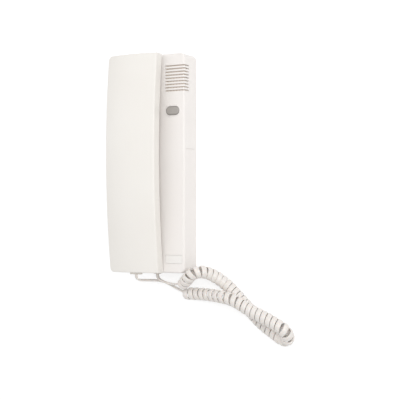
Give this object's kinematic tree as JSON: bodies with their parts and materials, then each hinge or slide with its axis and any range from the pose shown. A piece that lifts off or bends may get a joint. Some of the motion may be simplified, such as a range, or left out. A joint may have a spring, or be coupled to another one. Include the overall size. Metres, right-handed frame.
{
  "type": "wall intercom handset",
  "caption": "Slim wall door-entry phone with a bowed handset resting in cup pockets beside a panel with a slotted grille and an oval button, and a curly cord below.",
  "frame": {"origin": "middle of the back face, which lies on the wall, or on the table here", "axes": "+X to the right across the front, +Y up the device towards the ear cup, +Z out of the wall towards the user"},
  "size_m": [0.1822, 0.2677, 0.0437],
  "materials": {
    "housing_abs": "moulded, satin",
    "handset_abs": "moulded, satin",
    "name_plate_pc": "smooth",
    "button_abs": "moulded, satin",
    "cord_pvc": "extruded, satin",
    "screw_steel": "zinc plated",
    "magnet_steel": "nickel plated",
    "microphone_can": "drawn",
    "board_laminate": "lacquered laminate",
    "component_black": "moulded",
    "terminal_plastic": "moulded",
    "resistor_ceramic": "lacquered",
    "cone_film": "thin film",
    "grille_fabric": "woven",
    "gasket_rubber": "moulded"
  },
  "bodies": {
    "base": {"front_cover": "housing_abs", "back_plate": "housing_abs", "name_plate": "name_plate_pc", "cover_screws": "screw_steel", "circuit_board": "board_laminate", "board_screws": "screw_steel", "grille_cloth": "grille_fabric", "ringer_frame": "component_black", "ringer_magnet": "magnet_steel", "ringer_cone": "cone_film", "button_switch": "component_black", "hook_pin": "screw_steel", "hook_spring": "screw_steel", "hook_switch": "component_black", "terminal_block": "terminal_plastic", "terminal_screws": "screw_steel", "capacitors": "component_black", "amplifier_chip": "component_black", "resistors": "resistor_ceramic", "base_relief": "cord_pvc", "base_lead": "cord_pvc", "curly_cord": "cord_pvc", "handset_lead": "cord_pvc"},
    "handset": {"handset_front": "handset_abs", "handset_rear": "handset_abs", "handset_screws": "screw_steel", "receiver_gasket": "gasket_rubber", "receiver_diaphragm": "cone_film", "receiver_capsule": "component_black", "microphone": "microphone_can", "microphone_boot": "gasket_rubber", "handset_relief": "cord_pvc"},
    "lever": {"hook_lever": "housing_abs"},
    "lever_switch": {"hook_plunger": "component_black"},
    "button": {"door_button": "button_abs"},
    "button_plunger": {"switch_plunger": "component_black"}
  },
  "joints": [
    {"name": "handset_lift", "type": "slide", "parent": "base", "child": "handset", "axis": [0, 0, 1], "range_m": [0, 0.04]},
    {"name": "lever_tilt", "type": "hinge", "parent": "base", "child": "lever", "pos_m": [-0.0113, 0.044, 0.017], "axis": [1, 0, 0], "range_deg": [0, 12], "deforming": ["hook_spring"]},
    {"name": "lever_switch_press", "type": "slide", "parent": "base", "child": "lever_switch", "axis": [0, 0, -1], "range_m": [0, 0.0006]},
    {"name": "button_press", "type": "slide", "parent": "base", "child": "button", "axis": [0, 0, -1], "range_m": [0, 0.0012], "stiffness_N_per_m": 400},
    {"name": "button_plunger_press", "type": "slide", "parent": "base", "child": "button_plunger", "axis": [0, 0, -1], "range_m": [0, 0.0012]}
  ],
  "couplings": [
    {"joint": "lever_tilt", "follows": "handset_lift", "rad_per_m": 5.23},
    {"joint": "lever_switch_press", "follows": "handset_lift", "ratio": 0.0149},
    {"joint": "button_plunger_press", "follows": "button_press", "ratio": 1}
  ]
}
